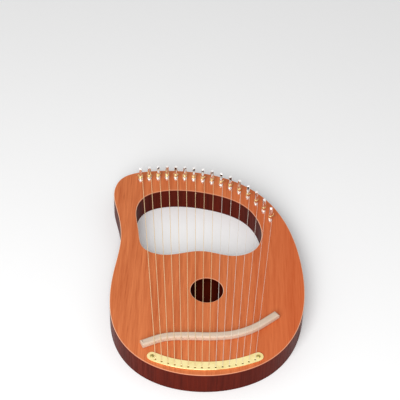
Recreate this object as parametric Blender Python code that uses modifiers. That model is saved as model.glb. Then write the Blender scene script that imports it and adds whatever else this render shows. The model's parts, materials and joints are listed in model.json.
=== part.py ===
"""Sixteen-string lyre harp with a hollow wooden body, lying on its back.

Metres. +Z points out of the face, +Y towards the tuning pins and +X to the treble side.
The origin is under the middle of the body, on the flat back.
"""

import math

import bmesh
import bpy
import numpy as np

# Body
BODY_LENGTH = 0.4240
BODY_WIDTH = 0.3000
BODY_DEPTH = 0.0380
BOARD_THICKNESS = 0.0030
BACK_THICKNESS = 0.0030
RIM_THICKNESS = 0.0050
LINER_THICKNESS = 0.0045
GLUE_GAP = 0.0003

# Outline of the body, as shares of its half width and half length, anticlockwise from the right
BODY_SHAPE = (
    (1.000, -0.245), (0.970, 0.094), (0.837, 0.458), (0.567, 0.762), (0.187, 0.936),
    (-0.267, 0.999), (-0.653, 0.983), (-0.930, 0.896), (-1.000, 0.769), (-0.940, 0.509),
    (-0.885, 0.245), (-0.925, -0.080), (-0.935, -0.377), (-0.830, -0.675), (-0.583, -0.882),
    (-0.173, -0.994), (0.238, -0.981), (0.642, -0.846), (0.883, -0.623),
)

# Sound hole, and the two braces glued under the soundboard on either side of it
HOLE_RADIUS = 0.0245
HOLE_FROM_END = 0.1624
HOLE_OFFSET = 0.0034
BRACE_FROM_HOLE = 0.0450
BRACE_WIDTH = 0.0080
BRACE_HEIGHT = 0.0140

# Window between the arms. ARM_SHAPE gives the wood left beside it at bearings from its centre, as
# an arm's width and what is added to it. The other sizes place its wavy lower edge.
LEFT_ARM = 0.0270
TOP_ARM = 0.0460
RIGHT_ARM = 0.0370
ARM_SHAPE = (
    (-15.4, RIGHT_ARM, 0.0290), (-3.0, RIGHT_ARM, 0.0080), (11.0, RIGHT_ARM, 0.0015), (30.0, RIGHT_ARM, 0.0),
    (53.0, RIGHT_ARM, 0.0035), (80.0, TOP_ARM, -0.0015), (105.0, TOP_ARM, 0.0), (121.0, TOP_ARM, 0.0035),
    (161.5, LEFT_ARM, 0.0230), (171.5, LEFT_ARM, 0.0055), (-176.5, LEFT_ARM, 0.0), (-164.5, LEFT_ARM, 0.0012),
    (-155.0, LEFT_ARM, 0.0085),
)
WINDOW_OFFSET = -0.0120
WINDOW_FROM_HOLE = 0.1446
CREST_OFFSET = -0.0060
CREST_FROM_HOLE = 0.0813
LEFT_LOBE_OFFSET = -0.0680
LEFT_LOBE_DROP = 0.0104
RIGHT_LOBE_OFFSET = 0.0460
RIGHT_LOBE_DROP = 0.0078

# Tuning pins, from the bass side
STRING_COUNT = 16
PIN_RADIUS = 0.0025
PIN_POINT_RADIUS = 0.0016
PIN_STANDOUT = 0.0285
PIN_DEPTH = 0.0200
PIN_CHAMFER = 0.0006
PIN_CLEARANCE = 0.0001
HEAD_LENGTH = 0.0120
HEAD_SIDE = 0.0043
HEAD_END_SIDE = 0.0040
PIN_EYE_RADIUS = 0.0010
PIN_EYE_HEIGHT = 0.0130
PIN_SETBACK = 0.0212
FIRST_PIN_FROM_SIDE = 0.0410
BASS_PIN_PITCH = 0.0143
TREBLE_PIN_PITCH = 0.0218
PIN_BLOCK_REACH = 0.0300
WIRE_END_BEARINGS = (172, -34, 15, 42, -20, 25, 8, -12, 20, -8, 14, 30, -15, 5, 22, -10)

# Strings and their windings
BASS_STRING_RADIUS = 0.00048
TREBLE_STRING_RADIUS = 0.00020
STRING_HEIGHT_AT_PIN = 0.0030
WIRE_SEAT = 0.00015
TURN_GAP = 0.0005
LOW_TURNS = 2.0
LEAST_TURNS = 3.5
TURN_POINTS = 8
WIRE_END_LENGTH = 0.0030
SWEEP_CLEARANCE = 0.0002
BALL_RADIUS = 0.0018
BALL_LENGTH = 0.0028
BALL_EDGE = 0.0005

# Bridge. BRIDGE_WAVE gives its centre line as shares of its length across, from the bass end, and
# as distances above the middle of the anchor holes.
BRIDGE_HEIGHT = 0.0090
BRIDGE_WIDTH = 0.0105
BRIDGE_EDGE = 0.0010
BRIDGE_PAST_BASS = 0.0196
BRIDGE_PAST_TREBLE = 0.0298
BRIDGE_WAVE = (
    (0.0, 0.0363), (0.167, 0.0510), (0.341, 0.0548), (0.515, 0.0557),
    (0.681, 0.0609), (0.837, 0.0754), (1.0, 0.1016),
)

# Anchor plate, which follows the lower edge of the body
PLATE_THICKNESS = 0.0018
PLATE_WIDTH = 0.0148
ANCHOR_PITCH = 0.00973
ANCHOR_MIDDLE = 0.0055
ANCHOR_FROM_EDGE = 0.0127
ANCHOR_END_FROM_EDGE = 0.0106
ANCHOR_FROM_PLATE_EDGE = 0.0040
ANCHOR_HOLE_RADIUS = 0.0013
SCREW_FROM_ANCHOR = 0.0074
BALL_SIDE_ROOM = 0.0005
BALL_DEPTH_ROOM = 0.0027
TAIL_BLOCK_REACH = 0.0300
TAIL_BLOCK_END = 0.0120
SCREW_RADIUS = 0.0015
SCREW_LENGTH = 0.0130
SCREW_POINT = 0.0030
SCREW_HEAD_RADIUS = 0.0031
SCREW_HEAD_HEIGHT = 0.0015
SCREW_HEAD_FLAT = 0.0019
SCREW_HEAD_RIM = 0.0006
SCREW_CLEARANCE = 0.0003

# How finely shapes are divided, and the distance and angles that join or part their faces
OUTLINE_TURN = math.radians(8.0)
OUTLINE_STEP = 0.0160
KNOT_STEPS = 24
ROUND_SIDES = 40
SMALL_HOLE_SIDES = 8
PIN_SIDES = 12
CAP_STEPS = 6
LINE_STEPS = 5
STRIP_STEPS = 14
GAP_STEPS = 5
WELD = 0.00001
SHARP_EDGE = math.radians(60.0)
SMOOTH_EDGE = math.radians(35.0)

# Heights that follow from the sizes above
FACE = BODY_DEPTH
BOARD_UNDERSIDE = FACE - BOARD_THICKNESS
FRAME_BOTTOM = BACK_THICKNESS + GLUE_GAP
FRAME_TOP = BOARD_UNDERSIDE - GLUE_GAP
BRIDGE_BOTTOM = FACE + GLUE_GAP
BRIDGE_TOP = BRIDGE_BOTTOM + BRIDGE_HEIGHT
PLATE_BOTTOM = FACE + GLUE_GAP
PLATE_TOP = PLATE_BOTTOM + PLATE_THICKNESS

for leftover in list(bpy.data.objects):
    bpy.data.objects.remove(leftover, do_unlink=True)

parts = bpy.data.collections.new("lyre_harp")
cutters = bpy.data.collections.new("cutters")
cutters.hide_render = True
bpy.context.scene.collection.children.link(parts)
bpy.context.scene.collection.children.link(cutters)


def material(name, colour, roughness, metallic=0.0):
    made = bpy.data.materials.new(name)
    made.use_nodes = True
    shader = made.node_tree.nodes["Principled BSDF"]
    shader.inputs["Base Color"].default_value = (*colour, 1.0)
    shader.inputs["Roughness"].default_value = roughness
    shader.inputs["Metallic"].default_value = metallic
    return made


FACE_WOOD = material("mahogany face", (0.62, 0.17, 0.06), 0.45)
SIDE_WOOD = material("mahogany side", (0.24, 0.05, 0.02), 0.50)
HIDDEN_WOOD = material("bare hardwood", (0.50, 0.33, 0.18), 0.70)
MAPLE = material("maple", (0.85, 0.66, 0.50), 0.55)
BRASS = material("brass", (0.88, 0.70, 0.28), 0.30, 1.0)
NICKEL = material("nickel plate", (0.72, 0.70, 0.67), 0.22, 1.0)
SCREW_STEEL = material("plated screw steel", (0.80, 0.66, 0.35), 0.30, 1.0)
STRING_METAL = material("string wire", (0.70, 0.62, 0.50), 0.30, 1.0)


def add_object(name, data, look=None, group=parts):
    made = bpy.data.objects.new(name, data)
    group.objects.link(made)
    if look:
        data.materials.clear()
        data.materials.append(look)
    if group is cutters:
        made.hide_render = True
        made.display_type = "WIRE"
    return made


def smooth_loop(knots):
    """Closed curve of continuous curvature through the knots, as close points."""
    knots = np.array(knots, float)
    count = len(knots)
    after = np.linalg.norm(np.roll(knots, -1, 0) - knots, axis=1)[:, None]
    before = np.roll(after, 1, 0)
    pull = 3 * ((knots - np.roll(knots, 1, 0)) / before**2 + (np.roll(knots, -1, 0) - knots) / after**2)
    link = np.diag(2 * (1 / before + 1 / after)[:, 0])
    for i in range(count):
        link[i, i - 1] += 1 / before[i, 0]
        link[i, (i + 1) % count] += 1 / after[i, 0]
    slopes = np.linalg.solve(link, pull)
    points = []
    for i in range(count):
        j = (i + 1) % count
        for t in np.arange(KNOT_STEPS) / KNOT_STEPS:
            points.append(
                (2 * t**3 - 3 * t**2 + 1) * knots[i]
                + (t**3 - 2 * t**2 + t) * after[i] * slopes[i]
                + (3 * t**2 - 2 * t**3) * knots[j]
                + (t**3 - t**2) * after[i] * slopes[j]
            )
    return np.array(points)


def smooth_line(knots):
    """Open smooth curve through the knots, as close points."""
    knots = np.array(knots, float)
    slopes = np.gradient(knots, axis=0)
    points = []
    for i in range(len(knots) - 1):
        for t in np.arange(LINE_STEPS) / LINE_STEPS:
            points.append(
                (2 * t**3 - 3 * t**2 + 1) * knots[i]
                + (t**3 - 2 * t**2 + t) * slopes[i]
                + (3 * t**2 - 2 * t**3) * knots[i + 1]
                + (t**3 - t**2) * slopes[i + 1]
            )
    points.append(knots[-1])
    return np.array(points)


def left_normals(points, closed=True):
    """Unit vectors to the left of the way the points run: inwards on an anticlockwise loop."""
    if closed:
        along = np.roll(points, -1, 0) - np.roll(points, 1, 0)
    else:
        along = np.gradient(points, axis=0)
    along /= np.linalg.norm(along, axis=1)[:, None]
    return np.stack([-along[:, 1], along[:, 0]], axis=1)


def inset(loop, distance):
    return loop + left_normals(loop) * distance


def thin(loop):
    """The loop in as few points as keep each step under OUTLINE_STEP and OUTLINE_TURN."""
    ahead = np.roll(loop, -1, 0) - loop
    lengths = np.linalg.norm(ahead, axis=1)
    bearings = np.arctan2(ahead[:, 1], ahead[:, 0])
    turns = np.abs((np.roll(bearings, -1) - bearings + math.pi) % (2 * math.pi) - math.pi)
    steps = np.cumsum(lengths / OUTLINE_STEP + turns / OUTLINE_TURN)
    count = math.ceil(steps[-1])
    wanted = steps[-1] * np.arange(count) / count
    return loop[np.searchsorted(steps, wanted)]


def circle(centre, radius, sides):
    bearings = 2 * math.pi * np.arange(sides) / sides
    return np.array(centre) + radius * np.stack([np.cos(bearings), np.sin(bearings)], axis=1)


def around(radius, sides):
    """Corner radius of a polygon that clears a circle of this radius."""
    return radius / math.cos(math.pi / sides)


def mesh_of(curve_object):
    """The curve as a welded mesh, and the curve removed."""
    graph = bpy.context.evaluated_depsgraph_get()
    data = bpy.data.meshes.new_from_object(curve_object.evaluated_get(graph))
    bpy.data.objects.remove(curve_object, do_unlink=True)
    shape = bmesh.new()
    shape.from_mesh(data)
    bmesh.ops.remove_doubles(shape, verts=shape.verts, dist=WELD)
    bmesh.ops.recalc_face_normals(shape, faces=shape.faces)
    shape.to_mesh(data)
    shape.free()
    return data


def flat_piece(name, outlines, bottom, top, look=None, group=parts):
    """A board: the first outline filled, less the others, between two heights."""
    flat = bpy.data.curves.new(name, "CURVE")
    flat.dimensions = "2D"
    flat.fill_mode = "BOTH"
    flat.extrude = (top - bottom) / 2
    for outline in outlines:
        spline = flat.splines.new("POLY")
        spline.points.add(len(outline) - 1)
        for point, (x, y) in zip(spline.points, outline):
            point.co = (x, y, 0.0, 1.0)
        spline.use_cyclic_u = True
    shape = add_object(name + "_outline", flat)
    made = add_object(name, mesh_of(shape), look, group)
    made.location.z = (top + bottom) / 2
    return made


def cut(target, cutter, operation="DIFFERENCE"):
    step = target.modifiers.new(cutter.name, "BOOLEAN")
    step.object = cutter
    step.operation = operation
    step.solver = "EXACT"


def joined(name, outlines, bottom, top):
    """Separate upright prisms in one cutter."""
    pieces = [flat_piece(f"{name}_{i}", [o], bottom, top, group=cutters) for i, o in enumerate(outlines)]
    shape = bmesh.new()
    for piece in pieces:
        shape.from_mesh(piece.data)
        bpy.data.objects.remove(piece, do_unlink=True)
    data = bpy.data.meshes.new(name)
    shape.to_mesh(data)
    shape.free()
    made = add_object(name, data, group=cutters)
    made.location.z = (top + bottom) / 2
    return made


# Outline of the body
body = smooth_loop(np.array(BODY_SHAPE) * (BODY_WIDTH / 2, BODY_LENGTH / 2))
body -= (body.max(0) + body.min(0)) / 2
body *= np.array((BODY_WIDTH, BODY_LENGTH)) / (body.max(0) - body.min(0))
body_normals = left_normals(body)
hole_centre = np.array((HOLE_OFFSET, HOLE_FROM_END - BODY_LENGTH / 2))


def wood_beside(centre, bearing, width):
    """The point this far inside the body's outline, where a ray from the centre crosses it."""
    ray = body - centre
    off = np.arctan2(ray[:, 1], ray[:, 0]) - math.radians(bearing)
    nearest = np.argmin(np.abs((off + math.pi) % (2 * math.pi) - math.pi))
    return body[nearest] + body_normals[nearest] * width


# Outline of the window
window_centre = hole_centre + (WINDOW_OFFSET - HOLE_OFFSET, WINDOW_FROM_HOLE)
crest = np.array((CREST_OFFSET, hole_centre[1] + CREST_FROM_HOLE))
window_knots = [wood_beside(window_centre, bearing, arm + added) for bearing, arm, added in ARM_SHAPE]
window_knots.append((LEFT_LOBE_OFFSET, crest[1] - LEFT_LOBE_DROP))
window_knots.append(crest)
window_knots.append((RIGHT_LOBE_OFFSET, crest[1] - RIGHT_LOBE_DROP))
window = smooth_loop(window_knots)

# Row of the anchor holes, along the lower edge of the body
lowest = np.argmin(np.where(body[:, 1] < 0, np.abs(body[:, 0] - ANCHOR_MIDDLE), np.inf))
half_row = ANCHOR_PITCH * (STRING_COUNT - 1) / 2


def distances(points, middle):
    """How far each point lies along the line from the point numbered middle."""
    steps = np.linalg.norm(np.diff(points, axis=0), axis=1)
    lengths = np.concatenate([[0.0], np.cumsum(steps)])
    return lengths - lengths[middle]


edge_middle = len(body) // 2
edge = np.roll(body, edge_middle - lowest, 0)
edge_normals = np.roll(body_normals, edge_middle - lowest, 0)
rise_at_ends = ANCHOR_FROM_EDGE - ANCHOR_END_FROM_EDGE
setbacks = ANCHOR_FROM_EDGE - rise_at_ends * np.minimum(distances(edge, edge_middle) / half_row, 1.5) ** 2
row = edge + edge_normals * setbacks[:, None]
row_distances = distances(row, edge_middle)


def along_row(distance, outside=0.0):
    """A point this far along the anchor holes from their middle, and so far outside their row."""
    point = [np.interp(distance, row_distances, row[:, axis]) for axis in (0, 1)]
    normal = [np.interp(distance, row_distances, edge_normals[:, axis]) for axis in (0, 1)]
    return np.array(point) - np.array(normal) * outside


anchor_places = [along_row(ANCHOR_PITCH * i - half_row) for i in range(STRING_COUNT)]
plate_middle = PLATE_WIDTH / 2 - ANCHOR_FROM_PLATE_EDGE
screw_places = [along_row(side * (half_row + SCREW_FROM_ANCHOR), -plate_middle) for side in (-1, 1)]


def half_circle(start, end):
    """Points between start and end of the anticlockwise half circle on them, without the two."""
    centre = (start + end) / 2
    arm = start - centre
    across = np.array((-arm[1], arm[0]))
    turns = [math.pi * step / CAP_STEPS for step in range(1, CAP_STEPS)]
    return [centre + arm * math.cos(turn) + across * math.sin(turn) for turn in turns]


def strip(half_length, outer, inner, round_ends=False):
    """A band along the anchor holes, from outer outside their row to inner inside it."""
    stations = np.linspace(-half_length, half_length, STRIP_STEPS)
    lower = [along_row(station, outer) for station in stations]
    upper = [along_row(station, -inner) for station in stations[::-1]]
    right_end = half_circle(lower[-1], upper[0]) if round_ends else []
    left_end = half_circle(upper[-1], lower[0]) if round_ends else []
    return np.array(lower + right_end + upper + left_end)


# Places of the tuning pins, on a line set back from the upper edge of the body
pin_line = inset(body, PIN_SETBACK)[::-1]
pin_steps = np.linalg.norm(np.roll(pin_line, -1, 0) - pin_line, axis=1)
first_x = FIRST_PIN_FROM_SIDE - BODY_WIDTH / 2
start = np.argmin(np.where(pin_line[:, 1] > window_centre[1], np.abs(pin_line[:, 0] - first_x), np.inf))
pin_line = np.roll(pin_line, -start, 0)
pin_stations = np.concatenate([[0.0], np.cumsum(np.roll(pin_steps, -start))[:-1]])
pin_places = []
station = 0.0
for i in range(STRING_COUNT):
    pin_places.append(np.array([np.interp(station, pin_stations, pin_line[:, axis]) for axis in (0, 1)]))
    grown = (i / (STRING_COUNT - 2)) ** 3
    station += BASS_PIN_PITCH + (TREBLE_PIN_PITCH - BASS_PIN_PITCH) * grown

# Soundboard and back
body_outline = thin(body)
window_outline = thin(window)
pin_hole_radius = around(PIN_RADIUS + PIN_CLEARANCE, SMALL_HOLE_SIDES)
pin_holes = [circle(place, pin_hole_radius, SMALL_HOLE_SIDES) for place in pin_places]
slot_half_width = BALL_RADIUS + BALL_SIDE_ROOM
slot = strip(half_row, slot_half_width, slot_half_width, round_ends=True)
screw_hole_radius = around(SCREW_RADIUS + SCREW_CLEARANCE, SMALL_HOLE_SIDES)
screw_holes = [circle(place, screw_hole_radius, SMALL_HOLE_SIDES) for place in screw_places]
sound_hole = circle(hole_centre, HOLE_RADIUS, ROUND_SIDES)
board_outlines = [body_outline, window_outline, sound_hole, slot] + pin_holes + screw_holes
flat_piece("soundboard", board_outlines, BOARD_UNDERSIDE, FACE, FACE_WOOD)
flat_piece("back_plate", [body_outline, window_outline], 0.0, BACK_THICKNESS, SIDE_WOOD)

# Rim and window liner, between the boards
rim_inside = thin(inset(body, RIM_THICKNESS))
liner_outside = thin(inset(window, -LINER_THICKNESS))
flat_piece("rim", [body_outline, rim_inside], FRAME_BOTTOM, FRAME_TOP, SIDE_WOOD)
flat_piece("window_liner", [liner_outside, window_outline], FRAME_BOTTOM, FRAME_TOP, SIDE_WOOD)

# Space inside the rim and outside the liner, which shapes the blocks and braces
space_outline = thin(inset(body, RIM_THICKNESS + GLUE_GAP))
space_window = thin(inset(window, -LINER_THICKNESS - GLUE_GAP))
space = flat_piece("inner_space", [space_outline, space_window], 0.0, FACE, group=cutters)


def block(name, outline, bottom, top):
    """A piece of hardwood with this outline that ends a glue gap short of the rim and the liner."""
    made = flat_piece(name, [outline], bottom, top, HIDDEN_WOOD)
    cut(made, space, "INTERSECT")
    return made


# Pin block: all the wood across the top arm, with a blind hole for each pin
left_foot = pin_places[0] - (0.0, PIN_BLOCK_REACH)
right_foot = pin_places[-1] - (0.0, PIN_BLOCK_REACH)
foot_line = (right_foot - left_foot) / np.linalg.norm(right_foot - left_foot)
block_outline = [
    left_foot - foot_line * BODY_WIDTH, right_foot + foot_line * BODY_WIDTH,
    (BODY_WIDTH * 2, BODY_LENGTH), (-BODY_WIDTH * 2, BODY_LENGTH),
]
pin_block = block("pin_block", block_outline, FRAME_BOTTOM, FRAME_TOP)
block_hole_bottom = FACE - PIN_DEPTH - GLUE_GAP
pin_drill = joined("pin_drill", pin_holes, block_hole_bottom, FACE)
cut(pin_block, pin_drill)

# Tail block: the wood that the strings and screws pull on, with a groove for the ball ends
tail_half_length = half_row + TAIL_BLOCK_END
tail_outline = strip(tail_half_length, ANCHOR_FROM_EDGE, TAIL_BLOCK_REACH)
tail_block = block("tail_block", tail_outline, FRAME_BOTTOM, FRAME_TOP)
groove = flat_piece("groove", [slot], PLATE_BOTTOM - BALL_LENGTH - BALL_DEPTH_ROOM, FACE, group=cutters)
cut(tail_block, groove)
screw_bottom = PLATE_TOP + GLUE_GAP - SCREW_LENGTH
screw_drill = joined("screw_drill", screw_holes, screw_bottom - GLUE_GAP, FACE)
cut(tail_block, screw_drill)

# Braces across the soundboard, above and below the sound hole
for name, side in (("brace_upper", 1), ("brace_lower", -1)):
    middle = hole_centre[1] + side * BRACE_FROM_HOLE
    low = middle - BRACE_WIDTH / 2
    high = middle + BRACE_WIDTH / 2
    bar = [(-BODY_WIDTH, low), (BODY_WIDTH, low), (BODY_WIDTH, high), (-BODY_WIDTH, high)]
    block(name, bar, FRAME_TOP - BRACE_HEIGHT, FRAME_TOP)

# Bridge, a waved bar with its upper edges eased
bridge_start = -half_row - BRIDGE_PAST_BASS
bridge_end = half_row + BRIDGE_PAST_TREBLE
bridge_knots = [(bridge_start + (bridge_end - bridge_start) * share, above) for share, above in BRIDGE_WAVE]
bridge_line = along_row(0.0) + smooth_line(bridge_knots)
bridge_sides = left_normals(bridge_line, closed=False) * BRIDGE_WIDTH / 2
near_side = bridge_line - bridge_sides
far_side = bridge_line + bridge_sides
bridge_outline = np.concatenate([near_side, far_side[::-1]])
bridge = flat_piece("bridge", [bridge_outline], BRIDGE_BOTTOM, BRIDGE_TOP, MAPLE)
shape = bmesh.new()
shape.from_mesh(bridge.data)
upper_edges = [e for e in shape.edges if not e.is_manifold or e.calc_face_angle(0.0) > SHARP_EDGE]
upper_edges = [e for e in upper_edges if min(v.co.z for v in e.verts) > 0]
bmesh.ops.bevel(shape, geom=upper_edges, offset=BRIDGE_EDGE, segments=1, affect="EDGES")
shape.to_mesh(bridge.data)
shape.free()

# Anchor plate and its two screws
plate_half = half_row + SCREW_FROM_ANCHOR
plate_inner = PLATE_WIDTH - ANCHOR_FROM_PLATE_EDGE
plate_outline = strip(plate_half, ANCHOR_FROM_PLATE_EDGE, plate_inner, round_ends=True)
anchor_holes = [circle(place, ANCHOR_HOLE_RADIUS, SMALL_HOLE_SIDES) for place in anchor_places]
flat_piece("anchor_plate", [plate_outline] + anchor_holes + screw_holes, PLATE_BOTTOM, PLATE_TOP, BRASS)


def turned(name, profile, look, sides):
    """A solid of revolution on Z. The profile runs down the outer side, top to bottom."""
    data = bpy.data.meshes.new(name)
    data.from_pydata([(r, 0.0, z) for r, z in profile], [(i, i + 1) for i in range(len(profile) - 1)], [])
    made = add_object(name, data, look)
    turn = made.modifiers.new("turn", "SCREW")
    turn.steps = sides
    turn.render_steps = sides
    turn.use_merge_vertices = True
    turn.merge_threshold = WELD
    turn.use_smooth_shade = True
    return made


head_base = PLATE_TOP + GLUE_GAP
screw_profile = (
    (0.0, SCREW_HEAD_HEIGHT),
    (SCREW_HEAD_FLAT, SCREW_HEAD_HEIGHT),
    (SCREW_HEAD_RADIUS, SCREW_HEAD_RIM),
    (SCREW_HEAD_RADIUS, 0.0),
    (SCREW_RADIUS, 0.0),
    (SCREW_RADIUS, SCREW_POINT - SCREW_LENGTH),
    (0.0, -SCREW_LENGTH),
)
for name, place in zip(("anchor_screw_left", "anchor_screw_right"), screw_places):
    screw = turned(name, screw_profile, SCREW_STEEL, PIN_SIDES)
    screw.location = (*place, head_base)

# Tuning pin: round shank, tapered square head, and a cross hole for the wire
ROUND = 2.0
SQUARE = 7.0


def section(shape, height, half, squareness):
    """A ring of points between a circle and a square."""
    ring = []
    for i in range(PIN_SIDES):
        bearing = 2 * math.pi * (i + 0.5) / PIN_SIDES
        across = abs(math.cos(bearing)) ** squareness + abs(math.sin(bearing)) ** squareness
        radius = half / across ** (1 / squareness)
        ring.append(shape.verts.new((radius * math.cos(bearing), radius * math.sin(bearing), height)))
    return ring


def pin_mesh():
    head_start = PIN_STANDOUT - HEAD_LENGTH
    sections = (
        (-PIN_DEPTH, PIN_POINT_RADIUS, ROUND),
        (-PIN_DEPTH + PIN_RADIUS, PIN_RADIUS, ROUND),
        (head_start - PIN_RADIUS / 2, PIN_RADIUS, ROUND),
        (head_start + PIN_RADIUS / 2, HEAD_SIDE / 2, SQUARE),
        (PIN_STANDOUT - PIN_CHAMFER, HEAD_END_SIDE / 2, SQUARE),
        (PIN_STANDOUT, HEAD_END_SIDE / 2 - PIN_CHAMFER, SQUARE),
    )
    shape = bmesh.new()
    rings = [section(shape, *values) for values in sections]
    shape.faces.new(rings[0][::-1])
    shape.faces.new(rings[-1])
    for lower, upper in zip(rings, rings[1:]):
        for i in range(PIN_SIDES):
            j = (i + 1) % PIN_SIDES
            shape.faces.new((lower[i], lower[j], upper[j], upper[i]))
    data = bpy.data.meshes.new("tuning_pin")
    shape.to_mesh(data)
    shape.free()
    solid = add_object("pin_blank", data)
    bpy.ops.mesh.primitive_cylinder_add(
        vertices=SMALL_HOLE_SIDES,
        radius=PIN_EYE_RADIUS,
        depth=PIN_RADIUS * 4,
        location=(0.0, 0.0, PIN_EYE_HEIGHT),
        rotation=(0.0, math.pi / 2, 0.0),
    )
    eye = bpy.context.object
    cut(solid, eye)
    drilled = bpy.data.meshes.new_from_object(solid.evaluated_get(bpy.context.evaluated_depsgraph_get()))
    bpy.data.objects.remove(solid, do_unlink=True)
    bpy.data.objects.remove(eye, do_unlink=True)
    drilled.name = "tuning_pin"
    drilled.materials.clear()
    drilled.materials.append(NICKEL)
    drilled.shade_smooth()
    drilled.set_sharp_from_angle(angle=SMOOTH_EDGE)
    return drilled


pin_data = pin_mesh()


def tube(name, points, radius, look, widths=None):
    """A round wire through the points. widths, where given, are shares of its radius."""
    wire = bpy.data.curves.new(name, "CURVE")
    wire.dimensions = "3D"
    wire.bevel_depth = radius
    wire.bevel_resolution = 1
    wire.use_fill_caps = True
    spline = wire.splines.new("POLY")
    spline.points.add(len(points) - 1)
    for i, point in enumerate(points):
        spline.points[i].co = (*point, 1.0)
        if widths:
            spline.points[i].radius = widths[i]
    return add_object(name, wire, look)


def tangent_point(outside, centre, radius):
    """Where the line from the outside point touches the circle, on the circle's left as seen from it."""
    offset = np.array(centre) - outside
    distance = np.linalg.norm(offset)
    bearing = math.atan2(offset[1], offset[0]) + math.asin(radius / distance)
    length = math.sqrt(distance**2 - radius**2)
    return np.array(outside) + length * np.array((math.cos(bearing), math.sin(bearing)))


def crossing(start, end, line):
    """How far along start to end it crosses the line, as a share."""
    way = end - start
    sides = (line[:, 0] - start[0]) * way[1] - (line[:, 1] - start[1]) * way[0]
    i = np.nonzero(sides[:-1] * sides[1:] <= 0)[0][0]
    met = line[i] + (line[i + 1] - line[i]) * sides[i] / (sides[i] - sides[i + 1])
    return np.dot(met - start, way) / np.dot(way, way)


def least_gap(points, radius):
    """The narrowest space between turns of a wire, measured between points along it."""
    points = np.array(points)
    steps = np.arange(0.0, len(points) - 1, 1 / GAP_STEPS)
    fine = np.stack([np.interp(steps, np.arange(len(points)), points[:, axis]) for axis in range(3)], axis=1)
    lengths = np.concatenate([[0.0], np.cumsum(np.linalg.norm(np.diff(fine, axis=0), axis=1))])
    apart = np.linalg.norm(fine[:, None] - fine[None], axis=2)
    far = np.abs(lengths[:, None] - lengths[None]) > math.pi * PIN_RADIUS
    return apart[far].min() - 2 * radius


def winding_points(radius, coil_radius, turns, rise):
    """Wire on a pin, in the pin's own frame: straight end, turns, then through the eye to its cut end."""
    step = 2 * math.pi / TURN_POINTS
    crossing_rise = 2 * radius + TURN_GAP
    low_end = LOW_TURNS * crossing_rise
    last_half = PIN_EYE_HEIGHT - STRING_HEIGHT_AT_PIN - crossing_rise
    high_start = last_half - crossing_rise * (turns - 0.5 - LOW_TURNS - 1.0)
    turn_marks = (0.0, LOW_TURNS, LOW_TURNS + 1.0, turns - 0.5, turns)
    rise_marks = (0.0, low_end, high_start, last_half, PIN_EYE_HEIGHT - STRING_HEIGHT_AT_PIN)
    start_bearing = math.pi + turns * 2 * math.pi
    radial = np.array((math.cos(start_bearing), math.sin(start_bearing)))
    away = np.array((-radial[1], radial[0]))
    first = radial * coil_radius
    points = [(*(first + away * 2 * radius), STRING_HEIGHT_AT_PIN + rise * 2 * radius)]
    count = math.ceil(turns * TURN_POINTS)
    for i in range(count + 1):
        done = turns * i / count
        bearing = start_bearing - done * 2 * math.pi
        height = STRING_HEIGHT_AT_PIN + np.interp(done, turn_marks, rise_marks)
        points.append((coil_radius * math.cos(bearing), coil_radius * math.sin(bearing), height))
    points.append((PIN_RADIUS + WIRE_END_LENGTH, 0.0, PIN_EYE_HEIGHT))
    return points


# Pins, windings and strings
narrowest = math.inf
for i in range(STRING_COUNT):
    number = f"{i + 1:02d}"
    share = i / (STRING_COUNT - 1)
    wire_radius = BASS_STRING_RADIUS + (TREBLE_STRING_RADIUS - BASS_STRING_RADIUS) * share
    coil_radius = around(PIN_RADIUS + WIRE_SEAT + wire_radius, TURN_POINTS)
    wire_end = math.radians(WIRE_END_BEARINGS[i % len(WIRE_END_BEARINGS)])
    pin = add_object(f"tuning_pin_{number}", pin_data)
    pin.location = (*pin_places[i], FACE)
    pin.rotation_euler.z = wire_end

    leaving = tangent_point(anchor_places[i], pin_places[i], -coil_radius)
    radial = leaving - pin_places[i]
    start_bearing = math.atan2(radial[1], radial[0])
    partial = ((start_bearing - wire_end - math.pi) / (2 * math.pi)) % 1.0
    turns = LEAST_TURNS + (partial - LEAST_TURNS) % 1.0

    far = crossing(leaving, anchor_places[i], far_side)
    near = crossing(leaving, anchor_places[i], near_side)
    over_bridge = BRIDGE_TOP + GLUE_GAP + wire_radius
    at_pin = FACE + STRING_HEIGHT_AT_PIN
    run = np.linalg.norm(anchor_places[i] - leaving)
    rise = (over_bridge - at_pin) / (far * run)
    points = winding_points(wire_radius, coil_radius, turns, rise)
    narrowest = min(narrowest, least_gap(points, wire_radius))
    winding = tube(f"winding_{number}", points, wire_radius, STRING_METAL)
    winding.parent = pin

    sweep = math.hypot(coil_radius + wire_radius, 2 * wire_radius) + SWEEP_CLEARANCE
    clear = math.sqrt(sweep**2 - (coil_radius - wire_radius) ** 2)
    begin = clear / run
    mouth = PLATE_TOP + GLUE_GAP + wire_radius
    ball_top = PLATE_BOTTOM - GLUE_GAP
    heights = (
        (begin, at_pin + rise * clear, 1.0),
        (far, over_bridge, 1.0),
        (near, over_bridge, 1.0),
        (1.0, mouth, 1.0),
        (1.0, ball_top, 1.0),
        (1.0, ball_top - BALL_EDGE, BALL_RADIUS / wire_radius),
        (1.0, ball_top - BALL_LENGTH + BALL_EDGE, BALL_RADIUS / wire_radius),
        (1.0, ball_top - BALL_LENGTH, (BALL_RADIUS - BALL_EDGE) / wire_radius),
    )
    route = [(*(leaving + (anchor_places[i] - leaving) * part), z) for part, z, _ in heights]
    tube(f"string_{number}", route, wire_radius, STRING_METAL, [width for _, _, width in heights])

print(f"least gap between turns: {narrowest * 1000:.2f} mm")
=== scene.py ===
import json
import math

import bmesh
import bpy
import numpy as np
from mathutils import Matrix, Vector


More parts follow.
